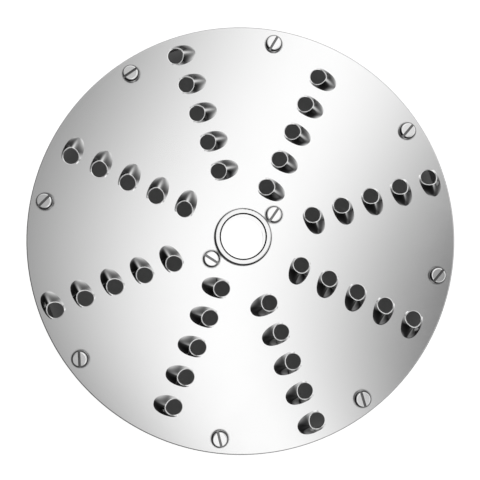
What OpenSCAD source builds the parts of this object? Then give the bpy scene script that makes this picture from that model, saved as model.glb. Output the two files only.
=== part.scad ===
// Coarse shredding disc of a commercial vegetable cutter: a stainless plate with
// forty pressed scoop teeth, held by slotted screws on a cast aluminium carrier.
// Millimetres, +Z up with the teeth on top. The origin lies on the disc's axis,
// in the plane of the hub's lower face.

/* [Plate] */
// Outer diameter of the plate
plate_d = 205; // [200:1:230]
// Thickness of the stainless sheet
plate_t = 1.2; // [1:0.1:1.5]
// Gap between the plate and the hub's collar
plate_gap = 0.4; // [0.2:0.1:0.6]

/* [Teeth] */
// Teeth in each row
teeth_per_row = 5; // [1:1:5]
// Distance between two teeth of a row
tooth_pitch = 14.9; // [14:0.1:15.2]
// Distance from the plate's edge to the outermost hole's centre
tooth_edge_gap = 7.8; // [7.6:0.1:9]
// Diameter of the punched hole
hole_d = 7.4; // [7.2:0.1:7.6]
// Inner width of the scoop behind the hole
scoop_w = 6.6; // [6:0.1:6.8]
// Wall of the scoop's back
scoop_wall = 1.3; // [1.1:0.05:1.4]
// Height of the cutting lip above the plate
lip_h = 3.4; // [2:0.1:4]
// Slope of the scoop's back
scoop_slope = 31; // [28:1:36]
// Slope of the scoop's mouth
mouth_slope = 33; // [30:1:36]
// Reach of the scoop's sides ahead of the hole's centre
wing_reach = 0.8; // [0.4:0.1:1.2]

/* [Hub] */
// Overall height of the hub, which is the length of its bore
hub_h = 22; // [20:0.5:30]
// Height of the hub's collar above the plate
collar_h = 5; // [3:0.5:7]
// Diameter of the collar that stands in the plate's centre hole
collar_d = 26.8; // [26:0.2:30]
// Rounding of the collar's top edge
collar_round = 0.7; // [0.3:0.1:1]
// Diameter of the shaft bore
bore_d = 21; // [18:0.5:22]
// Bevel at each end of the bore
bore_bevel = 0.65; // [0.3:0.05:1]
// Diameter of the hub's lower barrel
barrel_d = 34; // [32:0.5:38]
// Thickness of the hub's flange under the plate
flange_h = 7.5; // [7:0.5:9]
// Wall outside a hub screw's tapped hole
flange_wall = 2; // [1.5:0.1:2.2]
// Height of the cone between the flange and the barrel
flange_cone_h = 3; // [2:0.5:3.5]
// Width of the slot for the shaft's drive pin
pin_slot_w = 7; // [5:0.5:7.5]
// Depth of the slot for the shaft's drive pin
pin_slot_h = 5; // [4:0.5:5.5]

/* [Carrier] */
// Step from the plate's edge in to the carrier's rim
rim_inset = 0.5; // [0.3:0.1:0.8]
// Wall of the carrier's rim
rim_w = 3; // [2:0.1:3.2]
// Height of the carrier's rim
rim_h = 7.8; // [7.5:0.1:9]
// Gap between the rim and the plate
rim_gap = 0.2; // [0.1:0.05:0.3]
// Rounding of the rim's lower edges
rim_round = 1; // [0.5:0.1:1]
// Width of a spoke at the rim
spoke_w = 4.6; // [3.5:0.1:5]
// Width of a spoke at the hub
spoke_root_w = 5.4; // [4:0.1:5.6]
// Height of a spoke at its ends
spoke_h = 6.5; // [5:0.5:7]
// Rise of the arch under a spoke
spoke_arch = 1.5; // [1:0.1:2.5]
// Gap between a spoke and the plate, which bears on the flange and the bosses
spoke_drop = 0.5; // [0.4:0.1:0.8]
// Wall round a rim screw's tapped hole
boss_wall = 3; // [2.8:0.1:3.4]
// Length of a rim screw's boss below the rim
boss_foot = 0.6; // [0.4:0.1:1]

/* [Screws] */
// Thread diameter of a screw
screw_d = 4; // [3.5:0.1:4.2]
// Length of a screw under its head
screw_len = 8; // [7:0.5:8.5]
// Diameter of a screw's head
head_d = 8; // [7:0.1:8.4]
// Height of a screw's head
head_h = 2.4; // [2:0.1:2.8]
// Rounding of the head's top edge
head_round = 1.05; // [0.6:0.05:1.2]
// Width of the driver slot
slot_w = 1.2; // [0.8:0.1:1.4]
// Depth of the driver slot
slot_h = 1; // [0.6:0.1:1.3]
// Distance from the plate's edge to the centre of a rim screw
screw_edge_gap = 7.2; // [6.5:0.1:7.4]
// Land between the plate's centre hole and a hub screw's head
hub_screw_land = 0.5; // [0.3:0.1:1]
// Play of a screw in the plate's hole, on each side
screw_play = 0.25; // [0.1:0.05:0.4]
// Play of a screw in its tapped hole, on each side
thread_play = 0.05; // [0.02:0.01:0.1]
// Bevel at the end of a screw
screw_bevel = 0.5; // [0.2:0.1:0.8]

/* [Hidden] */

// Directions of the tooth rows, anticlockwise from +X
row_angles = [17.5, 64.5, 110, 154.5, 201, 247.5, 291.5, 334];
// How far each row is drawn in, as a share of the pitch, so that no two rows run in one track
row_inset_shares = [0, 0.57, 0.09, 0.28, 0, 0.57, 0.09, 0.28];
// Directions of the rim screws and of the spokes that carry them
rim_screw_angles = [32.5, 80.5, 124, 169.5, 216.5, 263, 306, 348.5];
// Directions of the driver slots as the screws came to rest, seen from above
rim_slot_angles = [49, 59, 35, 45, 93, 103.5, 105.5, 49];
hub_screw_angles = [35.5, 214.5];
hub_slot_angles = [55, 147];

overrun = 0.25;
plate_top_z = hub_h - collar_h;
plate_low_z = plate_top_z - plate_t;
plate_hole_d = collar_d + 2 * plate_gap;
first_tooth_r = plate_d / 2 - tooth_edge_gap;
rim_r = plate_d / 2 - rim_inset;
rim_low_z = plate_low_z - rim_gap - rim_h;
rim_screw_r = plate_d / 2 - screw_edge_gap;
hub_screw_r = plate_hole_d / 2 + hub_screw_land + head_d / 2;
tapped_d = screw_d + 2 * thread_play;
boss_d = tapped_d + 2 * boss_wall;
flange_r = hub_screw_r + tapped_d / 2 + flange_wall;
flange_low_z = plate_low_z - flange_h;
tapped_depth = screw_len - plate_t + screw_bevel;
scoop_r = scoop_w / 2 + scoop_wall;
lip_x = wing_reach - lip_h / tan(mouth_slope);
scoop_len = 2 * (lip_h / sin(scoop_slope) + scoop_r / tan(scoop_slope));

// One tooth: the hole's centre at the origin, the plate's top at zero, cutting towards +X

// Round bar that climbs along the scoop's back, of the given radius
module scoop_bar(radius)
    translate([lip_x, 0, lip_h - scoop_r / cos(scoop_slope)])
        rotate([0, 90 - scoop_slope, 0])
            cylinder(r = radius, h = scoop_len, center = true, $fn = 64);

// Everything behind the slanting plane of the scoop's mouth
module behind_mouth()
    translate([wing_reach, 0, 0])
        rotate([0, mouth_slope, 0])
            translate([-scoop_len, -scoop_len / 2, -scoop_len])
                cube([2 * scoop_len, scoop_len, scoop_len]);

// Outer form of the scoop, down to the middle of the sheet
module scoop_skin()
    intersection() {
        scoop_bar(scoop_r);
        behind_mouth();
        translate([-scoop_len, -scoop_len / 2, -plate_t / 2])
            cube([2 * scoop_len, scoop_len, scoop_len]);
    }

// The punched hole, which also trims the lip, and the hollow under the scoop behind it
module scoop_hollow() {
    translate([0, 0, -plate_t - overrun])
        cylinder(d = hole_d, h = plate_t + lip_h + 2 * overrun, $fn = 64);
    intersection() {
        scoop_bar(scoop_w / 2);
        translate([wing_reach - 2 * scoop_len, -scoop_len / 2, -scoop_len])
            cube([2 * scoop_len, scoop_len, 2 * scoop_len]);
    }
}

// Sets its children at every tooth of the disc
module at_teeth()
    for (row = [0 : len(row_angles) - 1])
        rotate([0, 0, row_angles[row]])
            for (place = [0 : teeth_per_row - 1])
                translate([first_tooth_r - (place + row_inset_shares[row]) * tooth_pitch, 0,
                    plate_top_z])
                    rotate([0, 0, 90])
                        children();

// Sets its children at every screw, on the plate's top
module at_screws() {
    for (angle = rim_screw_angles)
        rotate([0, 0, angle])
            translate([rim_screw_r, 0, plate_top_z])
                children();
    for (angle = hub_screw_angles)
        rotate([0, 0, angle])
            translate([hub_screw_r, 0, plate_top_z])
                children();
}

// Flat disc with a rolled edge
module plate_blank()
    translate([0, 0, plate_low_z])
        rotate_extrude($fn = 180) {
            square([plate_d / 2 - plate_t / 2, plate_t]);
            translate([plate_d / 2 - plate_t / 2, plate_t / 2])
                circle(d = plate_t, $fn = 32);
        }

module shredding_plate()
    color("gainsboro")
        difference() {
            union() {
                plate_blank();
                at_teeth()
                    scoop_skin();
            }
            at_teeth()
                scoop_hollow();
            at_screws()
                translate([0, 0, -plate_t - overrun])
                    cylinder(d = screw_d + 2 * screw_play, h = plate_t + 2 * overrun, $fn = 48);
            translate([0, 0, plate_low_z - overrun])
                cylinder(d = plate_hole_d, h = plate_t + 2 * overrun, $fn = 96);
        }

// Carrier, cast in one piece

// Turned form of the hub: barrel, cone, flange and the collar with its rounded edge
module hub_body()
    rotate_extrude($fn = 120) {
        polygon([
            [0, 0],
            [barrel_d / 2 - bore_bevel, 0],
            [barrel_d / 2, bore_bevel],
            [barrel_d / 2, flange_low_z - flange_cone_h],
            [flange_r - bore_bevel, flange_low_z],
            [flange_r, flange_low_z + bore_bevel],
            [flange_r, plate_low_z],
            [0, plate_low_z],
        ]);
        square([collar_d / 2, hub_h - collar_round]);
        square([collar_d / 2 - collar_round, hub_h]);
        translate([collar_d / 2 - collar_round, hub_h - collar_round])
            circle(r = collar_round, $fn = 32);
    }

// Shaft bore with a bevel at each end
module hub_bore() {
    translate([0, 0, -overrun])
        cylinder(d = bore_d, h = hub_h + 2 * overrun, $fn = 96);
    for (end = [0, 1])
        translate([0, 0, end * hub_h])
            rotate([0, end * 180, 0])
                translate([0, 0, -overrun])
                    cylinder(r1 = bore_d / 2 + bore_bevel + overrun, r2 = bore_d / 2,
                        h = bore_bevel + overrun, $fn = 96);
}

// Slot across the hub's lower face, for the shaft's drive pin
module pin_slot()
    translate([-barrel_d, -pin_slot_w / 2, -overrun])
        cube([2 * barrel_d, pin_slot_w, pin_slot_h + overrun]);

// Rim ring with rounded lower edges
module rim_ring()
    translate([0, 0, rim_low_z])
        rotate_extrude($fn = 180)
            translate([rim_r - rim_w, 0]) {
                translate([0, rim_round])
                    square([rim_w, rim_h - rim_round]);
                translate([rim_round, 0])
                    square([rim_w - 2 * rim_round, rim_h]);
                for (edge = [rim_round, rim_w - rim_round])
                    translate([edge, rim_round])
                        circle(r = rim_round, $fn = 32);
            }

// Spoke along +X: narrowing in plan towards the rim and arched underneath
module spoke() {
    root_r = flange_r - flange_wall;
    tip_r = rim_r - rim_w / 2;
    reach = tip_r - root_r;
    arch_r = (reach * reach / 4 + spoke_arch * spoke_arch) / (2 * spoke_arch);
    top_z = plate_low_z - spoke_drop;
    intersection() {
        translate([0, 0, top_z - spoke_h - overrun])
            linear_extrude(spoke_h + 2 * overrun)
                polygon([
                    [root_r, -spoke_root_w / 2],
                    [tip_r, -spoke_w / 2],
                    [tip_r, spoke_w / 2],
                    [root_r, spoke_root_w / 2],
                ]);
        rotate([90, 0, 0])
            linear_extrude(2 * spoke_root_w, center = true)
                difference() {
                    translate([root_r - overrun, top_z - spoke_h])
                        square([reach + 2 * overrun, spoke_h]);
                    translate([root_r + reach / 2, top_z - spoke_h + spoke_arch - arch_r])
                        circle(r = arch_r, $fn = 720);
                }
    }
}

// Boss round a rim screw, run into the rim's wall
module rim_boss()
    translate([rim_screw_r, 0, rim_low_z - boss_foot])
        cylinder(d = boss_d, h = plate_low_z - rim_low_z + boss_foot, $fn = 64);

module carrier()
    color("silver")
        difference() {
            union() {
                hub_body();
                rim_ring();
                for (angle = rim_screw_angles)
                    rotate([0, 0, angle]) {
                        spoke();
                        rim_boss();
                    }
            }
            hub_bore();
            pin_slot();
            at_screws()
                translate([0, 0, -plate_t - tapped_depth])
                    cylinder(d = tapped_d, h = tapped_depth + overrun, $fn = 48);
        }

// Slotted pan head screw, seated on the plate's top

module screw(slot_angle)
    color("whitesmoke")
        difference() {
            rotate_extrude($fn = 64) {
                square([head_d / 2, head_h - head_round]);
                square([head_d / 2 - head_round, head_h]);
                translate([head_d / 2 - head_round, head_h - head_round])
                    circle(r = head_round, $fn = 32);
                polygon([
                    [0, overrun],
                    [0, -screw_len],
                    [screw_d / 2 - screw_bevel, -screw_len],
                    [screw_d / 2, screw_bevel - screw_len],
                    [screw_d / 2, overrun],
                ]);
            }
            rotate([0, 0, slot_angle])
                translate([-head_d, -slot_w / 2, head_h - slot_h])
                    cube([2 * head_d, slot_w, slot_h + overrun]);
        }

module rim_screw(index)
    rotate([0, 0, rim_screw_angles[index]])
        translate([rim_screw_r, 0, plate_top_z])
            screw(rim_slot_angles[index] - rim_screw_angles[index]);

module hub_screw(index)
    rotate([0, 0, hub_screw_angles[index]])
        translate([hub_screw_r, 0, plate_top_z])
            screw(hub_slot_angles[index] - hub_screw_angles[index]);

shredding_plate();
carrier();
for (index = [0 : len(rim_screw_angles) - 1])
    rim_screw(index);
for (index = [0 : len(hub_screw_angles) - 1])
    hub_screw(index);
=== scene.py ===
# %% [markdown]
# # A shredding disc for a vegetable cutter, dressed for its catalogue picture
#
# The object is a polished stainless plate, 205 mm across, with forty scoop teeth pressed up out of
# it. Slotted screws hold it on a cast aluminium carrier, whose turned collar shows in the middle.
# The solids come ready made from a CAD model. This lesson gives them their finish, sets up a small
# product studio round them, and points a camera at them. Every cell does one step and prints what
# it made, so that a mistake shows up where it happens.

# %% Load the solids and keep their size
import math

import bmesh
import bpy
from mathutils import Matrix, Vector
from mathutils.geometry import delaunay_2d_cdt


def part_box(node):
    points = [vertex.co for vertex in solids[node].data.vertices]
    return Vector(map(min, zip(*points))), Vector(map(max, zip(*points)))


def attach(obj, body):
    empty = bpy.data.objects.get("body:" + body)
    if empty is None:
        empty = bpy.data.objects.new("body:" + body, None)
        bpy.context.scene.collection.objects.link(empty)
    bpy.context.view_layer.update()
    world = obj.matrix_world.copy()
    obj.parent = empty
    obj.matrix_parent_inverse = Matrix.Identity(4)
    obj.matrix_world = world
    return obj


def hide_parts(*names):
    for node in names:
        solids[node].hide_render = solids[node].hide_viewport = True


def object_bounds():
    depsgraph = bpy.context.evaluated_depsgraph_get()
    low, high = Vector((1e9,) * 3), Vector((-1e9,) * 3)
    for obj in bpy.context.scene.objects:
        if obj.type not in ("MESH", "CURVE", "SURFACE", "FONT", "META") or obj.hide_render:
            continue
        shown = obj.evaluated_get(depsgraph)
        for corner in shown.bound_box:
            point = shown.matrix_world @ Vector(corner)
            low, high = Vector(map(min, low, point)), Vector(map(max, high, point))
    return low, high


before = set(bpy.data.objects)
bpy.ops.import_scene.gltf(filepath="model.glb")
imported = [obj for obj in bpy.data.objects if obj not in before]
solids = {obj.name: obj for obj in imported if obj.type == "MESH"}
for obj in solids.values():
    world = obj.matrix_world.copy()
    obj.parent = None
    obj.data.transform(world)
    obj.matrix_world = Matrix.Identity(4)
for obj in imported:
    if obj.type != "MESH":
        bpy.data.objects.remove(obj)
cad_box = [list(corner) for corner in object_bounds()]
print("solids:", sorted(solids))
print("box in metres:", cad_box)

# %% [markdown]
# ## The camera
#
# The picture was taken from almost straight above. The plate's outline, the collar and the forty
# holes were set against the solids. The camera that fits them best stands 300 mm above the hub's
# foot, a little to the left of the axis and in front of it, and leans back towards it. A lens of
# 44.5 mm on a 36 mm sensor gives the picture's scale. The lean is written as one turn about one
# axis, because that is what such a fit gives.

# %% Place the camera
MM = 0.001
CAMERA_PLACE = Vector((-11.1, -16.4, 300.0)) * MM
CAMERA_TURN = Vector((0.053, -0.034, -0.0067))

camera_data = bpy.data.cameras.new("catalogue_camera")
camera_data.sensor_fit = "HORIZONTAL"
camera_data.sensor_width = 36.0
camera_data.lens = 44.51
camera_data.clip_start = 0.01
camera_data.clip_end = 20.0
camera = bpy.data.objects.new("catalogue_camera", camera_data)
bpy.context.scene.collection.objects.link(camera)
turn = Matrix.Rotation(CAMERA_TURN.length, 4, CAMERA_TURN.normalized())
camera.matrix_world = Matrix.Translation(CAMERA_PLACE) @ turn
bpy.context.scene.camera = camera
bpy.context.scene.view_settings.view_transform = "Standard"
print("camera looks along", [round(x, 3) for x in -turn.col[2].xyz])

# %% [markdown]
# ## Small helpers for shader nodes
#
# The light and the finishes are shaders, and a shader in Blender is a graph of nodes. Writing each
# node out in full takes four or five lines, which hides the idea behind the plumbing. One helper
# adds a node and fills its inputs, and a second does a single sum. A value that is a socket gets
# linked, and any other value is typed in. The last is a smooth step, of which nearly every soft
# edge below is made.

# %% Helpers that add shader nodes
def fill(tree, socket, value):
    """Links the value when it is a socket, and types it in when it is a number or a colour."""
    if isinstance(value, bpy.types.NodeSocket):
        tree.links.new(value, socket)
    else:
        socket.default_value = value


def node(tree, kind, inputs=None, **settings):
    """Adds one shader node with its settings and its inputs."""
    made = tree.nodes.new(kind)
    for name, value in settings.items():
        setattr(made, name, value)
    for name, value in (inputs or {}).items():
        fill(tree, made.inputs[name], value)
    return made


def calc(tree, operation, *terms):
    """Adds one sum and returns its result."""
    made = tree.nodes.new("ShaderNodeMath")
    made.operation = operation
    for socket, term in zip(made.inputs, terms):
        fill(tree, socket, term)
    return made.outputs[0]


def ease(tree, value, low, high, start=0.0, end=1.0):
    """Goes smoothly from start to end while the value goes from low to high."""
    made = node(tree, "ShaderNodeMapRange", {"Value": value}, interpolation_type="SMOOTHSTEP")
    for name, number in (("From Min", low), ("From Max", high), ("To Min", start), ("To Max", end)):
        made.inputs[name].default_value = number
    return made.outputs["Result"]


print("helpers ready: fill, node, calc, ease")

# %% [markdown]
# ## The light: a panel overhead
#
# A polished plate has hardly any colour of its own: it shows the studio above it. On the picture a
# bright band runs across the plate, a little turned from upright, and the plate falls off to grey
# on both sides. So the studio has one long soft panel overhead, whose brightness fades towards its
# sides. A lamp object could do this too, but a world shader gives the fade exactly and costs no
# samples.
#
# The shader works on the direction in which a ray leaves the scene. Dividing by the height gives
# the place where that ray meets a ceiling one metre up. Scaling by the camera's height over the
# plate turns that into the place on the plate where the camera sees it mirrored, in millimetres.

# %% Find where each ray meets the ceiling
SHEET_T = 1.2
TOP_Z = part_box("shredding_plate")[0].z / MM + SHEET_T
CEILING = CAMERA_PLACE.z / MM - TOP_Z
LOWEST_RISE = 0.02


def axes(tree, vector):
    """The parts of a place or a direction, by the names X, Y and Z."""
    return node(tree, "ShaderNodeSeparateXYZ", {"Vector": vector}).outputs


world = bpy.data.worlds.new("studio_light")
bpy.context.scene.world = world
world.use_nodes = True
sky = world.node_tree
sky.nodes.clear()
ray = node(sky, "ShaderNodeTexCoord").outputs["Generated"]
ray_xyz = axes(sky, ray)
rise = calc(sky, "MAXIMUM", ray_xyz["Z"], LOWEST_RISE)
ceiling_x = calc(sky, "DIVIDE", ray_xyz["X"], rise)
ceiling_y = calc(sky, "DIVIDE", ray_xyz["Y"], rise)


def along(direction):
    """How far a ray's place on the ceiling lies in one direction, in the plate's millimetres."""
    foot = CAMERA_PLACE.xy / MM
    part_x = calc(sky, "MULTIPLY", ceiling_x, direction[0] * CEILING)
    part = calc(sky, "MULTIPLY_ADD", ceiling_y, direction[1] * CEILING, part_x)
    return calc(sky, "ADD", part, foot.x * direction[0] + foot.y * direction[1])


print("ceiling at", round(CEILING, 1), "mm over the plate")

# %% [markdown]
# The band is laid out in those millimetres. Its middle line bends a little on its way across the
# plate, and from that line the brightness falls like a bell, a little faster to the right than to
# the left. The panel also has an end in front, and it stays clear of the walls.

# %% Hang the panel overhead
BAND_TURN = math.radians(-18.6)
BAND_ACROSS = (math.cos(BAND_TURN), math.sin(BAND_TURN))
BAND_ALONG = (-BAND_ACROSS[1], BAND_ACROSS[0])
BAND_SHIFT = 1.5
BOW, BOW_TWIST = -3.31e-3, 2.17e-5
FITTED_REACH = 115.0
RIGHT_FADE, LEFT_FADE = 85.6, 97.0
PANEL_LEVEL = 1.22

across = along(BAND_ACROSS)
far_down = along(BAND_ALONG)
down_band = calc(sky, "MAXIMUM", calc(sky, "MINIMUM", far_down, FITTED_REACH), -FITTED_REACH)
square = calc(sky, "MULTIPLY", down_band, down_band)
bend = calc(sky, "MULTIPLY_ADD", down_band, BOW_TWIST, BOW)
bowed = calc(sky, "MULTIPLY_ADD", square, bend, calc(sky, "ADD", across, BAND_SHIFT))
right_side = calc(sky, "DIVIDE", calc(sky, "MAXIMUM", bowed, 0.0), RIGHT_FADE)
left_side = calc(sky, "DIVIDE", calc(sky, "MINIMUM", bowed, 0.0), LEFT_FADE)
off_middle = calc(sky, "ADD", right_side, left_side)
fade = calc(sky, "EXPONENT", calc(sky, "MULTIPLY", calc(sky, "MULTIPLY", off_middle, off_middle), -1.0))
panel_end = ease(sky, far_down, -165.0, -110.0, 0.1, 1.0)
panel = calc(sky, "MULTIPLY", calc(sky, "MULTIPLY", fade, PANEL_LEVEL), panel_end)
panel = calc(sky, "MULTIPLY", panel, ease(sky, ray_xyz["Z"], 0.72, 0.91))
print("panel level", PANEL_LEVEL, "turned by", round(math.degrees(BAND_TURN), 1), "degrees")

# %% [markdown]
# ## The light: soft lamps round the room
#
# The flat sheet mirrors only what hangs right above it. The flanks of the teeth lean, so they mirror
# the walls. On the picture some flanks are bright and others black, which tells where the room was
# lit: widely from the back and the right, and from one low spot in front, while the left was dark.
#
# Round lamps with soft edges draw that. Each is the angle between a ray and the lamp's aim, eased
# from dark to bright. They stop short of the top, where the sheet mirrors the panel alone, and they
# dim towards the horizon.

# %% Set up the soft lamps
ROOM_LEVEL = 0.04
SOFT_LAMPS = (
    {"turn": 61, "lift": 25, "radius": 11, "edge": 90, "level": 1.06},
    {"turn": 7, "lift": 67, "radius": 6, "edge": 52, "level": 1.0},
    {"turn": -110, "lift": 68, "radius": 7, "edge": 27, "level": 0.16},
    {"turn": -71, "lift": 0, "radius": 1, "edge": 36, "level": 0.89},
)


def soft_lamp(turn, lift, radius, edge, level):
    """A round lamp far away, turned round the axis and lifted off the horizon, in degrees."""
    turned, lifted = math.radians(turn), math.radians(lift)
    aim = (math.cos(lifted) * math.cos(turned), math.cos(lifted) * math.sin(turned), math.sin(lifted))
    facing = node(sky, "ShaderNodeVectorMath", operation="DOT_PRODUCT")
    fill(sky, facing.inputs[0], ray)
    fill(sky, facing.inputs[1], aim)
    dark_at, bright_at = math.cos(math.radians(radius + edge)), math.cos(math.radians(radius))
    return ease(sky, facing.outputs["Value"], dark_at, bright_at, 0.0, level)


room = ROOM_LEVEL
for lamp in SOFT_LAMPS:
    room = calc(sky, "MAXIMUM", soft_lamp(**lamp), room)
room = calc(sky, "MULTIPLY", room, ease(sky, ray_xyz["Z"], 0.05, 0.80, 0.40, 1.0))
room = calc(sky, "MULTIPLY", room, ease(sky, ray_xyz["Z"], 0.88, 0.93, 1.0, 0.0))
print(len(SOFT_LAMPS), "soft lamps over a room at", ROOM_LEVEL)

# %% [markdown]
# ## The light: switching it on
#
# What the camera sees past the floor is plain white, like the ground of the picture. Matt surfaces
# get one even level instead of the panel, so that they come out clean and render about as they are
# painted. Only mirror rays see the studio itself.

# %% Join panel, lamps and background
MATT_LEVEL = 0.8


def mix(tree, share, first, second):
    """Goes from the first value to the second as the share goes from 0 to 1."""
    made = node(tree, "ShaderNodeMix", {"Factor": share, "A": first, "B": second}, data_type="FLOAT")
    return made.outputs["Result"]


studio = calc(sky, "MAXIMUM", panel, room)
path = node(sky, "ShaderNodeLightPath").outputs
seen = calc(sky, "MAXIMUM", path["Is Camera Ray"], path["Is Transmission Ray"])
sky_level = mix(sky, seen, mix(sky, path["Is Diffuse Ray"], studio, MATT_LEVEL), 1.0)
background = node(sky, "ShaderNodeBackground", {"Color": (1, 1, 1, 1), "Strength": sky_level})
node(sky, "ShaderNodeOutputWorld", {"Surface": background.outputs["Background"]})
print("world with", len(sky.nodes), "nodes")

# %% [markdown]
# ## The floor
#
# The floor is a round sheet of white paper, far wider than the view. The disc stands on its hub's
# foot, so its rim stands clear of the paper and shades it softly.

# %% Cut the floor
FLOOR_R = 3.0
floor_mesh = bmesh.new()
bmesh.ops.create_circle(floor_mesh, cap_ends=True, segments=64, radius=FLOOR_R)
floor_data = bpy.data.meshes.new("studio_floor")
floor_mesh.to_mesh(floor_data)
floor_mesh.free()
floor = bpy.data.objects.new("studio_floor", floor_data)
floor.location.z = cad_box[0][2] - 0.05 * MM
bpy.context.scene.collection.objects.link(floor)
print("floor at", round(floor.location.z / MM, 2), "mm")

# %% [markdown]
# The catalogue picture has a pure white ground. A white floor would need far too much light to
# print as white, so this one glows for the camera and for mirror rays, and still takes a shadow
# from what stands on it. Under the plate it is a painted shadow: painted grey, darker near the rim,
# and it hardly glows, as the space under the disc is dim, and the punched holes look down on that
# grey. The bore looks down on a white ground again, which the picture shows too.

# %% Tone the paper
GLOW, GLOW_UNDER_DISC = 0.56, 0.02


def reach(tree, x, y):
    """How far (x, y) lies from the middle."""
    return calc(tree, "SQRT", calc(tree, "MULTIPLY_ADD", x, x, calc(tree, "MULTIPLY", y, y)))


def new_material(name):
    """A material with an empty graph, and that graph."""
    material = bpy.data.materials.new(name)
    material.use_nodes = True
    tree = material.node_tree
    tree.nodes.clear()
    return material, tree


floor_paper, paper = new_material("white_paper")
spot_xyz = axes(paper, node(paper, "ShaderNodeTexCoord").outputs["Object"])
from_axis = reach(paper, spot_xyz["X"], spot_xyz["Y"])
outside = ease(paper, from_axis, 0.1050, 0.1080)
under_bore = ease(paper, from_axis, 0.0104, 0.0112, 1.0, 0.0)
# Painted shadow: the glow is nearly cut off under the disc.
glow = calc(paper, "MULTIPLY_ADD", outside, GLOW, GLOW_UNDER_DISC)
glow = calc(paper, "ADD", glow, under_bore)
# Painted shadow: the paper is painted dark grey under the disc, darker still near its rim.
painted_shadow_under_disc = ease(paper, from_axis, 0.080, 0.100, 0.22, 0.11)
shade = calc(paper, "ADD", painted_shadow_under_disc, ease(paper, from_axis, 0.1045, 0.1085, 0.0, 0.74))
print("paper glows at", GLOW, "and at", GLOW_UNDER_DISC, "under the disc")

# %% [markdown]
# In mirror rays the sheet also has an end. Past it the studio's floor is dark, so that steep flanks
# that look outwards turn black and not white. The glow is then added to the matt paper. Only rays
# that are looked along see it, because a glow that lit the object too would wash out its shadows.

# %% Lay the paper
SHEET_BEHIND = 0.25


def grey(tree, level):
    """The grey that has this level in red, green and blue."""
    made = node(tree, "ShaderNodeCombineColor", {"Red": level, "Green": level, "Blue": level})
    return made.outputs["Color"]


rays = node(paper, "ShaderNodeLightPath").outputs
mirrored = calc(paper, "MAXIMUM", rays["Is Glossy Ray"], rays["Is Transmission Ray"])
shown = calc(paper, "MAXIMUM", rays["Is Camera Ray"], mirrored)
from_sheet = reach(paper, spot_xyz["X"], calc(paper, "ADD", spot_xyz["Y"], SHEET_BEHIND))
sheet_end = calc(paper, "MULTIPLY", ease(paper, from_sheet, 0.36, 0.50, 0.0, 0.85), rays["Is Glossy Ray"])
kept = calc(paper, "SUBTRACT", 1.0, sheet_end)
shade = calc(paper, "MULTIPLY", shade, kept)
glow = calc(paper, "MULTIPLY", glow, kept)

matt = node(paper, "ShaderNodeBsdfDiffuse", {"Color": grey(paper, shade)})
shine = node(paper, "ShaderNodeEmission", {"Color": (1, 1, 1, 1),
                                           "Strength": calc(paper, "MULTIPLY", glow, shown)})
lit_paper = node(paper, "ShaderNodeAddShader")
fill(paper, lit_paper.inputs[0], matt.outputs[0])
fill(paper, lit_paper.inputs[1], shine.outputs[0])
node(paper, "ShaderNodeOutputMaterial", {"Surface": lit_paper.outputs[0]})
floor_data.materials.append(floor_paper)
print("paper with", len(paper.nodes), "nodes")

# %% [markdown]
# ## The plate, as pressed sheet: one tooth
#
# The solid model draws each tooth as a clean half pipe, which is right for measuring. Real teeth are
# drawn up out of the sheet by a punch. The metal stretches, so each tooth is a smooth swelling, and
# only the lip that the punch cut is sharp. On a mirror finish that difference is easy to see,
# because the reflections bend where the metal bends.
#
# Modelling the swelling with a sculpting brush would make forty different teeth. A height function
# makes one exact tooth instead: for every point behind the punched hole it says how far the metal
# stands above the plate. The crest climbs from the tail to the lip and falls away again towards the
# two wings beside the hole. From the crest the flanks go down to the foot on both sides. Both curves
# are drawn by their slopes, because on a mirror the slope is what one sees. The foot is a crease: a
# flank is still steep where it meets the flat sheet.

# %% Measures of one tooth, in millimetres
HOLE_R = 3.7
EDGE_R = 4.1
LIP_H = 3.1
TAIL_END = 9.8
WING_END = -2.6
HALF_WIDTH = 4.8
WIDEST_AT = 1.0
WING_TAPER = 0.9
BLUNTNESS = 2.3
MOUTH_CURVE = 0.75
CREST_BLEND, CREST_DROP = 0.085, 0.021
LEVELLED = 0.35
RAMP_SLOPES = (1.1, 1.4, 1.6, 1.8, 1.9)
FLANK_SLOPES = (0.0, 1.3, 1.75, 1.75, 1.65, 1.5)


def fall(share, slopes):
    """A curve that falls from 1 to 0, drawn by how steep it is at evenly spaced places."""
    gap = 1 / (len(slopes) - 1)
    drops = [(first + second) / 2 * gap for first, second in zip(slopes, slopes[1:])]
    if share < 0:
        return 1 - slopes[0] * share / sum(drops)
    i = min(int(share / gap), len(drops) - 1)
    step = min(share, 1) - i * gap
    done = sum(drops[:i]) + slopes[i] * step + (slopes[i + 1] - slopes[i]) / gap * step * step / 2
    return 1 - done / sum(drops)


print("a flank is down to", round(fall(0.5, FLANK_SLOPES), 2), "of the crest at half its width")

# %% Shape one tooth as a height above the plate
def crest(back):
    """Height of the tooth's middle, at a distance behind the hole's centre."""
    ramp = fall((back - HOLE_R) / (TAIL_END - HOLE_R), RAMP_SLOPES)
    mouth = max(0.0, (back - WING_END) / (HOLE_R - WING_END)) ** MOUTH_CURVE
    blend = max(0.0, 1 - abs(ramp - mouth) / CREST_BLEND)
    return LIP_H * max(0.0, min(ramp, mouth) - CREST_DROP * blend * blend)


def half_width(back):
    """Half the tooth's width at a distance behind the hole's centre."""
    if back > WIDEST_AT:
        share = (back - WIDEST_AT) / (TAIL_END - WIDEST_AT)
        return HALF_WIDTH * max(1e-6, 1 - share ** BLUNTNESS) ** (1 / BLUNTNESS)
    return HALF_WIDTH - WING_TAPER * ((WIDEST_AT - back) / (WIDEST_AT - WING_END)) ** 2


def swelling(back, side):
    """How far the sheet stands above the plate behind and beside a hole."""
    if back <= WING_END or back >= TAIL_END:
        return 0.0
    share = abs(side) / half_width(back)
    return crest(back) * fall(share, FLANK_SLOPES) if share < 1 else 0.0


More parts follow.
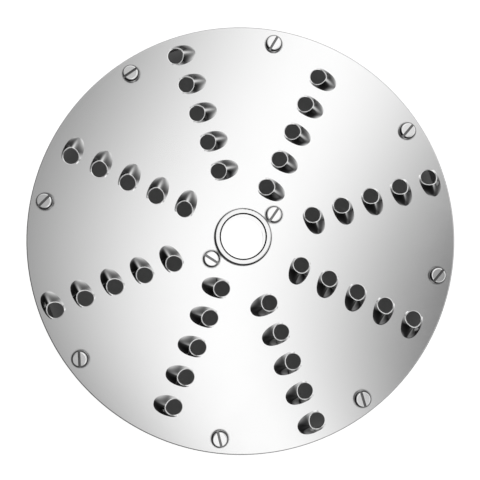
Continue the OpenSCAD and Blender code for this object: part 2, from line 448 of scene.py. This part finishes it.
def top_height(back, side):
    """The swelling, with the band that the grinder levelled along the hole's edge."""
    r = math.hypot(back, side)
    if r >= EDGE_R or r == 0:
        return swelling(back, side)
    outward = EDGE_R / r
    return swelling(back * outward, side * outward) - LEVELLED * (EDGE_R - r) ** 2


print("lip stands", round(swelling(HOLE_R, 0), 2), "mm above the plate,",
      round(swelling(0, HOLE_R), 2), "mm beside the hole")

# %% [markdown]
# The tooth needs a grid of points that fits the round hole. Rings round the hole do that: the first
# ring is the hole's edge, the next two carry the levelled band, and the last lies on the swelling's
# foot, which a search finds in each direction. A foot that ran through the middle of the grid's
# faces would smear the crease over them. In front, where the sheet is flat, the last ring runs
# close round the hole. The points stand closer together behind the hole, where the metal is bent.

# %% Lay a grid of rings round the hole
REAR_STEPS, FRONT_STEPS = 60, 6
REAR_REACH = math.radians(134)
MID_EDGE_R = 3.88
FLAT_MARGIN = 0.25
FARTHEST_FOOT = 12.0
RING_SHARES = (0.04, 0.1, 0.17, 0.25, 0.33, 0.42, 0.51, 0.6, 0.69, 0.78, 0.87, 0.94, 1.0)


def foot_reach(angle):
    """Distance from the hole's centre to the foot of the swelling, in one direction."""
    c, s = math.cos(angle), math.sin(angle)
    low, high = EDGE_R, FARTHEST_FOOT
    if swelling(low * c, low * s) <= 0:
        return EDGE_R + FLAT_MARGIN
    for _ in range(30):
        middle = (low + high) / 2
        low, high = (middle, high) if swelling(middle * c, middle * s) > 0 else (low, middle)
    return max(low, EDGE_R + FLAT_MARGIN)


angles = [-REAR_REACH + 2 * REAR_REACH * i / REAR_STEPS for i in range(REAR_STEPS)]
angles += [REAR_REACH + (2 * math.pi - 2 * REAR_REACH) * i / FRONT_STEPS for i in range(FRONT_STEPS)]
reaches = [foot_reach(a) for a in angles]
radii = [[r] * len(angles) for r in (HOLE_R, MID_EDGE_R, EDGE_R)]
radii += [[EDGE_R + (foot - EDGE_R) * share for foot in reaches] for share in RING_SHARES]
rings = [[(r * math.cos(a), r * math.sin(a)) for r, a in zip(ring, angles)] for ring in radii]
AROUND = len(angles)
FOOT = len(rings) - 1
LIP_RINGS = 2
print(len(rings), "rings of", AROUND, "points, the last on the foot of the swelling")

# %% [markdown]
# Blender would guess a smooth normal at each point from the faces round it. The height function
# knows the true one, so the normals are worked out from its slopes and handed over with the faces.
# Each face keeps its own normals at its corners, which lets the lip and the foot stay sharp while
# everything between them stays smooth. On the foot the slope is taken a little further in, because
# on the crease itself it would be an average of both sides.

# %% Work out heights and normals once for all teeth
JUST_IN, JUST_OUT, ON_THE_FLANK = 0.9999, 1.0001, 0.99


def surface_normal(height, back, side, step=0.02):
    """The direction that the surface faces, from the height's slopes."""
    slope_back = (height(back + step, side) - height(back - step, side)) / (2 * step)
    slope_side = (height(back, side + step) - height(back, side - step)) / (2 * step)
    return Vector((-slope_back, -slope_side, 1.0)).normalized()


grid = []
up_normals = {}
for number, ring in enumerate(rings):
    height = top_height if number < LIP_RINGS else swelling
    pull = JUST_OUT if number < FOOT else ON_THE_FLANK
    for k, (b, s) in enumerate(ring):
        grid.append((b, s, height(b, s)))
        up_normals[number, k, False] = surface_normal(swelling, b * pull, s * pull)
        if number <= LIP_RINGS:
            up_normals[number, k, True] = surface_normal(top_height, b * JUST_IN, s * JUST_IN)
print(len(grid), "points and", len(up_normals), "normals for one tooth")

# %% [markdown]
# ## The plate: forty teeth
#
# Eight rows of five teeth run out from the hub. The rows are not quite evenly spaced, and they start
# at four different distances from the rim, so that one row's teeth run where the last row's left a
# gap. Each tooth looks along the circle that it runs on. The press did not hold that direction
# perfectly, so each row has its own small turn.

# %% Set out the forty teeth
TEETH_PER_ROW = 5
TOOTH_PITCH = 14.9
FIRST_TOOTH_R = 94.7
ROW_ANGLES = (17.5, 64.5, 110.0, 154.5, 201.0, 247.5, 291.5, 334.0)
ROW_INSETS = (0.0, 0.57, 0.09, 0.28, 0.0, 0.57, 0.09, 0.28)
ROW_TURNS = (3, -6, -6, 3, 12, 8, 5, 4)

tooth_frames = []
for row_angle, inset, row_turn in zip(ROW_ANGLES, ROW_INSETS, ROW_TURNS):
    for place in range(TEETH_PER_ROW):
        a = math.radians(row_angle)
        skew = math.radians(row_angle + row_turn)
        r = FIRST_TOOTH_R - (place + inset) * TOOTH_PITCH
        centre = Vector((r * math.cos(a), r * math.sin(a)))
        back = Vector((math.sin(skew), -math.cos(skew)))
        side = Vector((math.cos(skew), math.sin(skew)))
        tooth_frames.append((centre, back, side))
print(len(tooth_frames), "teeth, the first at", [round(x, 1) for x in tooth_frames[0][0]], "mm")

# %% [markdown]
# One mesh holds the whole plate, so each tooth's rings are copied to its place and joined by bands
# of faces. The lip gets a second material, because the grinder left it matt.

# %% Helpers that add faces
points, faces, corner_normals, finish = [], [], [], []
POLISHED, GROUND = 0, 1
LIP_STARTS_AT = 0.12


def add_face(corners, normals, slot):
    """Keeps one face with a normal at each corner."""
    faces.append(corners)
    corner_normals.extend(normals)
    finish.append(slot)


def to_world(vector, back, side):
    """Turns a tooth's own direction into the plate's."""
    flat = back * vector[0] + side * vector[1]
    return Vector((flat.x, flat.y, vector[2]))


def band(inner, outer, top, back, side, base, lip):
    """Faces between two rings of a tooth, seen from above or from below."""
    for k in range(AROUND):
        n = (k + 1) % AROUND
        corners = [base[inner] + k, base[outer] + k, base[outer] + n, base[inner] + n]
        keys = [(inner, k), (outer, k), (outer, n), (inner, n)]
        normals = [to_world(up_normals[key[0], key[1], lip], back, side) for key in keys]
        if top:
            lifted = grid[inner * AROUND + k][2] > LIP_STARTS_AT
            add_face(corners, normals, GROUND if lip and lifted else POLISHED)
        else:
            add_face(corners[::-1], [-v for v in normals[::-1]], POLISHED)


print("helpers ready: add_face, to_world, band")

# %% [markdown]
# The lower side is the same swelling, one sheet's thickness down. It needs only every second ring,
# because nobody sees its reflections. A short wall between the two sides closes the hole, and gets
# the lip's finish.

# %% Lay the teeth into the sheet
low_rings = [0] + list(range(2, len(rings), 2))
if low_rings[-1] != FOOT:
    low_rings.append(FOOT)
print("lower side uses rings", low_rings)

foot_starts = []
for centre, back, side in tooth_frames:
    starts = {}
    for upper_side, drop, used in ((True, 0.0, range(len(rings))), (False, SHEET_T, low_rings)):
        for number in used:
            starts[upper_side, number] = len(points)
            for k in range(AROUND):
                b, s, h = grid[number * AROUND + k]
                if not upper_side:
                    h = swelling(b, s)
                spot = centre + back * b + side * s
                points.append(Vector((spot.x, spot.y, TOP_Z + h - drop)))
    upper_base = {n: starts[True, n] for n in range(len(rings))}
    lower_base = {n: starts[False, n] for n in low_rings}
    for number in range(FOOT):
        band(number, number + 1, True, back, side, upper_base, number < LIP_RINGS)
    for first, second in zip(low_rings, low_rings[1:]):
        band(first, second, False, back, side, lower_base, False)
    for k in range(AROUND):
        n = (k + 1) % AROUND
        corners = [lower_base[0] + k, upper_base[0] + k, upper_base[0] + n, lower_base[0] + n]
        directions = [(-math.cos(angles[j]), -math.sin(angles[j]), 0) for j in (k, k, n, n)]
        add_face(corners, [to_world(d, back, side) for d in directions], GROUND)
    foot_starts.append((upper_base[FOOT], lower_base[low_rings[-1]]))
print(len(tooth_frames), "teeth:", len(faces), "faces")

# %% [markdown]
# ## The plate: the flat sheet between the teeth
#
# The flat sheet is one face with fifty-one holes in it: forty feet of teeth, ten screw holes and the
# centre hole. Cutting such holes with a Boolean modifier leaves long thin faces that do not share
# their points with the teeth. A Delaunay triangulation takes the outlines as they are and fills the
# space between them with triangles that use every point of every outline, so the teeth join the
# sheet without a gap. First all the outlines are listed, each with the numbers that its points have
# in the upper and in the lower face.

# %% List the outlines of the flat sheet
PLATE_R = 102.5
RIM_ROUND = SHEET_T / 2
RIM_STEPS, CENTRE_STEPS, SCREW_STEPS = 240, 120, 32
CENTRE_HOLE_R = 13.8
SCREW_HOLE_R = 2.25
SCREW_PLACES = [(95.3, a) for a in (32.5, 80.5, 124.0, 169.5, 216.5, 263.0, 306.0, 348.5)]
SCREW_PLACES += [(18.3, 35.5), (18.3, 214.5)]


def circle(centre, r, steps):
    """Points on a circle."""
    return [Vector((centre[0] + r * math.cos(2 * math.pi * i / steps),
                    centre[1] + r * math.sin(2 * math.pi * i / steps))) for i in range(steps)]


outlines = []
for upper, lower in foot_starts:
    spots = [p.xy for p in points[upper:upper + AROUND]]
    outlines.append((spots, range(upper, upper + AROUND), range(lower, lower + AROUND)))
rounds = [((0.0, 0.0), PLATE_R - RIM_ROUND, RIM_STEPS), ((0.0, 0.0), CENTRE_HOLE_R, CENTRE_STEPS)]
for r, a in SCREW_PLACES:
    centre = (r * math.cos(math.radians(a)), r * math.sin(math.radians(a)))
    rounds.append((centre, SCREW_HOLE_R, SCREW_STEPS))
for centre, r, steps in rounds:
    spots = circle(centre, r, steps)
    upper = len(points)
    points.extend(Vector((p.x, p.y, TOP_Z)) for p in spots)
    lower = len(points)
    points.extend(Vector((p.x, p.y, TOP_Z - SHEET_T)) for p in spots)
    outlines.append((spots, range(upper, upper + steps), range(lower, lower + steps)))
print(len(outlines), "outlines, the plate's own rim among them")

# %% Triangulate the flat sheet
flat_points, flat_edges, top_index, low_index = [], [], [], []
for spots, upper, lower in outlines:
    start = len(flat_points)
    flat_points.extend(spots)
    flat_edges.extend((start + i, start + (i + 1) % len(spots)) for i in range(len(spots)))
    top_index.extend(upper)
    low_index.extend(lower)
made_points, _, made_triangles, made_from, _, _ = delaunay_2d_cdt(flat_points, flat_edges, [], 0, 1e-7)
origin = [ids[0] for ids in made_from]
print(len(made_triangles), "triangles, those in the holes among them")

# %% [markdown]
# The triangulation fills the holes too. To leave those triangles out, each one's middle is tested:
# a round hole needs only its radius, and a tooth's foot needs the rule that a line from a point
# inside an outline crosses it an odd number of times.

# %% Keep the triangles that lie on the sheet
def encloses(outline, p):
    """Whether a closed outline goes round a point, by counting how often it crosses a line."""
    inside = False
    for a, b in zip(outline, outline[1:] + outline[:1]):
        if (a.y > p.y) != (b.y > p.y) and p.x < a.x + (b.x - a.x) * (p.y - a.y) / (b.y - a.y):
            inside = not inside
    return inside


def in_a_hole(p):
    """Whether a triangle's middle lies in a hole, in a tooth or beyond the rim."""
    if p.length > PLATE_R - RIM_ROUND:
        return True
    for centre, r, steps in rounds[1:]:
        if (p - Vector(centre)).length < r * math.cos(math.pi / steps):
            return True
    for (spots, _, _), (centre, _, _) in zip(outlines, tooth_frames):
        if (p - centre).length < FARTHEST_FOOT and encloses(spots, p):
            return True
    return False


up, down = Vector((0, 0, 1)), Vector((0, 0, -1))
flat_start = len(faces)
for corners in made_triangles:
    a, b, c = (made_points[i] for i in corners)
    if in_a_hole((a + b + c) / 3):
        continue
    if (b - a).cross(c - a) < 0:
        corners = corners[::-1]
    add_face([top_index[origin[i]] for i in corners], [up] * 3, POLISHED)
    add_face([low_index[origin[i]] for i in corners[::-1]], [down] * 3, POLISHED)
print(len(faces) - flat_start, "flat triangles on both sides")

# %% [markdown]
# Upright walls close the screw holes and the centre hole. The rim is rolled, so that it can't cut
# whoever lifts the plate: a half round from the upper face to the lower one. A Bevel modifier would
# round the holes too, so the roll is drawn in bands, like the walls.

# %% Close the round holes and roll the rim
rim_outline, *hole_outlines = outlines[len(tooth_frames):]
for (centre, r, steps), (spots, upper, lower) in zip(rounds[1:], hole_outlines):
    for i in range(steps):
        n = (i + 1) % steps
        facing = [Vector((centre[0] - spots[j].x, centre[1] - spots[j].y, 0)).normalized()
                  for j in (i, i, n, n)]
        add_face([lower[i], upper[i], upper[n], lower[n]], facing, POLISHED)

ROLL_STEPS = 8
spots, upper, lower = rim_outline
bands = [list(upper)]
for step in range(1, ROLL_STEPS):
    roll = math.pi * step / ROLL_STEPS
    roll_r = PLATE_R - RIM_ROUND + RIM_ROUND * math.sin(roll)
    roll_z = TOP_Z - RIM_ROUND + RIM_ROUND * math.cos(roll)
    bands.append(list(range(len(points), len(points) + RIM_STEPS)))
    for spot in spots:
        out = spot.normalized()
        points.append(Vector((out.x * roll_r, out.y * roll_r, roll_z)))
bands.append(list(lower))
for step in range(ROLL_STEPS):
    for i in range(RIM_STEPS):
        n = (i + 1) % RIM_STEPS
        facing = []
        for j, ring_number in ((i, step), (i, step + 1), (n, step + 1), (n, step)):
            roll = math.pi * ring_number / ROLL_STEPS
            out = spots[j].normalized()
            facing.append(Vector((out.x * math.sin(roll), out.y * math.sin(roll), math.cos(roll))))
        add_face([bands[step][i], bands[step + 1][i], bands[step + 1][n], bands[step][n]], facing, POLISHED)
print(len(hole_outlines), "round holes closed, rim rolled in", ROLL_STEPS, "steps")

# %% Make the plate from its faces
plate_data = bpy.data.meshes.new("pressed_plate")
plate_data.from_pydata([p * MM for p in points], [], faces)
plate_data.polygons.foreach_set("material_index", finish)
plate_data.polygons.foreach_set("use_smooth", [True] * len(faces))
plate_data.normals_split_custom_set(corner_normals)
plate = bpy.data.objects.new("pressed_plate", plate_data)
bpy.context.scene.collection.objects.link(plate)
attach(plate, "root")
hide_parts("shredding_plate")
plate_data.calc_loop_triangles()
print("plate:", len(points), "points,", len(plate_data.loop_triangles), "triangles")

# %% [markdown]
# ## Painted shade in corners and on edges
#
# Bright metal never looks bright everywhere. Narrow corners lie in shade, and where a form curves away
# steeply, the mirror shows only the dark room. Two things in the shader paint that into the colour as
# painted shade. The Ambient Occlusion node finds the narrow corners. The direction in which the surface
# faces finds the steep places: level metal keeps its colour, and it is painted darker as it leans, a
# painted dark reflection. Upright walls are left bright, because from the side they mirror the paper.
# Both look the same from everywhere, so nothing slides when the view turns.

# %% Helpers that paint shade on metal
CORNER_WIDTH = 1.3 * MM
LEVEL_FROM = 0.985


def facing_up(tree):
    """How much the surface faces up: 1 where it is level, 0 where it is upright."""
    return axes(tree, node(tree, "ShaderNodeNewGeometry").outputs["Normal"])["Z"]


def with_painted_shade(tree, colour, corner_shade_level, steep_shade_level, spared=0.0, steep_at=0.70):
    """The metal's colour with painted shade in narrow corners and on steep, rounded edges."""
    # Painted shade: darker base colour in narrow corners, and a painted dark reflection on steep places.
    open_air = node(tree, "ShaderNodeAmbientOcclusion", {"Distance": CORNER_WIDTH}, samples=8)
    corner = ease(tree, open_air.outputs["AO"], 0.45, 0.9, corner_shade_level, 1.0)
    leaning = facing_up(tree)
    edge = ease(tree, leaning, steep_at, LEVEL_FROM, steep_shade_level, 1.0)
    upright_wall = ease(tree, leaning, 0.02, 0.12, 1.0, 0.0)
    edge = calc(tree, "MAXIMUM", calc(tree, "MAXIMUM", edge, upright_wall), spared)
    shade = node(tree, "ShaderNodeMix", data_type="RGBA", blend_type="MULTIPLY")
    factor, first, second = shade.inputs[0], shade.inputs[6], shade.inputs[7]
    fill(tree, factor, 1.0)
    fill(tree, first, colour)
    fill(tree, second, grey(tree, calc(tree, "MULTIPLY", corner, edge)))
    return shade.outputs[2]


print("helpers ready: facing_up, darkened")

# %% [markdown]
# ## Polished stainless steel
#
# Sheet for food machines is polished almost to a mirror. What is left of the polishing is a very
# fine, slightly uneven haze. So the colour is the flat grey of steel, and the life is in the
# roughness and in a bump that is far smaller than a hundredth of a millimetre. A photograph of
# scratched steel would do too, but it would repeat, and at this size it would be too coarse.

# %% Write down the recipe for steel
def steel_surface(tree, colour, rough_low, rough_high, grain_scale, bump_height,
                  corner_shade_level=0.15, steep_shade_level=1.0, steep_at=0.70):
    """A metal whose haze and fine unevenness come from two layers of noise."""
    where = node(tree, "ShaderNodeTexCoord").outputs["Object"]
    haze = node(tree, "ShaderNodeTexNoise", {"Vector": where, "Scale": 38.0, "Detail": 4.0,
                                             "Roughness": 0.6})
    grain = node(tree, "ShaderNodeTexNoise", {"Vector": where, "Scale": grain_scale, "Detail": 3.0})
    mixed = calc(tree, "MULTIPLY_ADD", grain.outputs["Fac"], 0.45,
                 calc(tree, "MULTIPLY", haze.outputs["Fac"], 0.55))
    bump = node(tree, "ShaderNodeBump", {"Height": grain.outputs["Fac"], "Distance": bump_height,
                                         "Strength": 1.0})
    # The base colour carries painted shade in narrow corners and on steep places.
    metal = node(tree, "ShaderNodeBsdfPrincipled", {
        "Base Color": with_painted_shade(tree, colour, corner_shade_level, steep_shade_level, 0.0, steep_at),
        "Metallic": 1.0,
        "Roughness": ease(tree, mixed, 0.3, 0.7, rough_low, rough_high),
        "Normal": bump.outputs["Normal"]})
    node(tree, "ShaderNodeOutputMaterial", {"Surface": metal.outputs["BSDF"]})
    return metal


print("recipe ready: steel_surface")

# %% [markdown]
# The plate takes it with a low roughness. The lips that the grinder touched are the same steel, but
# matt. They are bright where they stand up and fade to a dark grey at the plate's own level and
# below it.

# %% Make the plate's two finishes
EDGE_DARK_BELOW, EDGE_BRIGHT_ABOVE = TOP_Z - 0.1, TOP_Z + 0.7
plate_steel, plate_tree = new_material("polished_sheet_steel")
# Painted shade: dark in the teeth's corners and strong on their steep flanks.
steel_surface(plate_tree, (0.82, 0.82, 0.82, 1), 0.07, 0.13, 900.0, 0.4e-6,
              corner_shade_level=0.15, steep_shade_level=0.18, steep_at=0.76)
plate_data.materials.append(plate_steel)

edge_steel, edge_tree = new_material("ground_edge_steel")
edge_height = axes(edge_tree, node(edge_tree, "ShaderNodeTexCoord").outputs["Object"])["Z"]
# Darker towards the plate's own level and below it, bright higher up.
edge_tone = ease(edge_tree, edge_height, EDGE_DARK_BELOW * MM, EDGE_BRIGHT_ABOVE * MM, 0.12, 0.97)
edge_metal = steel_surface(edge_tree, grey(edge_tree, edge_tone), 0.34, 0.46, 1500.0, 1.0e-6)
edge_metal.inputs["Metallic"].default_value = 0.35
plate_data.materials.append(edge_steel)
print("plate finishes:", [m.name for m in plate_data.materials])

# %% [markdown]
# ## Cast aluminium
#
# The carrier is a casting. Its skin is a little grainy, dull and darker than steel. The collar and
# the bore were turned on a lathe, which leaves them bright with very fine rings. One material holds
# both, because they are one piece of metal: the distance from the axis and the height tell which
# part the lathe reached.

# %% Tell the turned metal from the cast
carrier_metal, cast = new_material("cast_and_turned_aluminium")
cast_place = node(cast, "ShaderNodeTexCoord").outputs["Object"]
cast_xyz = axes(cast, cast_place)
radius = reach(cast, cast_xyz["X"], cast_xyz["Y"])
near_axis = ease(cast, radius, 0.0135, 0.0138, 1.0, 0.0)
high_up = ease(cast, cast_xyz["Z"], 0.0150, 0.0152)
collar = calc(cast, "MULTIPLY", near_axis, high_up)
in_bore = ease(cast, radius, 0.0112, 0.0113, 1.0, 0.0)
turned = calc(cast, "MAXIMUM", collar, in_bore)
bore_wall = ease(cast, radius, 0.01052, 0.01058, 1.0, 0.0)
# Where the painted shade on steep edges is left out: everywhere but the collar, and the bore wall.
spared_from_edge_shade = calc(cast, "MAXIMUM", bore_wall, calc(cast, "SUBTRACT", 1.0, collar))
print("the lathe's part is found with", len(cast.nodes), "nodes")

# %% [markdown]
# The lathe's rings are a sine wave of the distance from the axis, and the casting's skin is noise.
# Both are only bump and roughness: at a tenth of a millimetre, real grooves would need millions of
# faces. The collar's rounded edge shows as a thin dark line on the picture, so the painted shade on
# steep edges is strong there, and the rest of the casting is spared from it. Painted shade in narrow
# corners covers the whole casting.

# %% Make the carrier's aluminium
RING_PITCH = 0.12 * MM
TURNED_ROUGH, TURNED_TONE = 0.16, 0.80
skin = node(cast, "ShaderNodeTexNoise", {"Vector": cast_place, "Scale": 1400.0, "Detail": 4.0})
lathe_rings = calc(cast, "SINE", calc(cast, "MULTIPLY", radius, 2 * math.pi / RING_PITCH))
relief = mix(cast, turned, calc(cast, "MULTIPLY", skin.outputs["Fac"], 30.0),
             calc(cast, "MULTIPLY", lathe_rings, 0.15))
rough = mix(cast, turned, ease(cast, skin.outputs["Fac"], 0.3, 0.7, 0.38, 0.52), TURNED_ROUGH)
tone = mix(cast, turned, ease(cast, skin.outputs["Fac"], 0.3, 0.7, 0.40, 0.52), TURNED_TONE)
bump = node(cast, "ShaderNodeBump", {"Height": relief, "Distance": 1e-6, "Strength": 1.0})
# Painted shade in the casting's narrow corners, and strong painted shade on the collar's rounded edge.
aluminium = node(cast, "ShaderNodeBsdfPrincipled", {
    "Base Color": with_painted_shade(cast, grey(cast, tone), 0.08, 0.04, spared_from_edge_shade),
    "Metallic": 1.0,
    "Roughness": rough,
    "Normal": bump.outputs["Normal"]})
node(cast, "ShaderNodeOutputMaterial", {"Surface": aluminium.outputs["BSDF"]})
solids["carrier"].data.materials[0] = carrier_metal
print("carrier:", len(solids["carrier"].data.polygons), "faces")

# %% [markdown]
# ## Bright steel for the screws
#
# The screws are turned from bright steel. On the picture a head is a light disc with a dark ring
# round it, where the head rounds off, and a dark slot. The steel is the plate's recipe with a finer
# grain, and the ring is painted shade from the darkening on steep places. The slot's floor is level,
# so it would mirror the panel and vanish. A painted map of each head would help, but the slot can
# also be found by its height, so the shader does that and paints the slot's floor dark as painted shade.

# %% Make the screws' steel
SLOT_FLOOR = (18.45 * MM, 18.6 * MM)
SLOT_SHADE_LEVEL = 0.3
SCREW_LEVEL = 0.85
screw_steel, screw_tree = new_material("bright_screw_steel")
screw_height = axes(screw_tree, node(screw_tree, "ShaderNodeTexCoord").outputs["Object"])["Z"]
# Painted shade in the slot: its floor, found by its height, is painted dark.
above_slot = ease(screw_tree, screw_height, *SLOT_FLOOR)
upright = ease(screw_tree, facing_up(screw_tree), 0.80, 0.95, 1.0, 0.0)
screw_grey_with_slot_shade = calc(screw_tree, "MAXIMUM", calc(screw_tree, "MAXIMUM", above_slot, upright), SLOT_SHADE_LEVEL)
screw_grey_with_slot_shade = calc(screw_tree, "MULTIPLY", screw_grey_with_slot_shade, SCREW_LEVEL)
# Painted shade: a dark ring on the rounded head edge, and shade in narrow corners.
steel_surface(screw_tree, grey(screw_tree, screw_grey_with_slot_shade), 0.09, 0.16, 1500.0, 0.3e-6,
              corner_shade_level=0.5, steep_shade_level=0.08)
for name, solid in solids.items():
    if "screw" in name:
        solid.data.materials[0] = screw_steel
print("screws:", sum("screw" in name for name in solids))
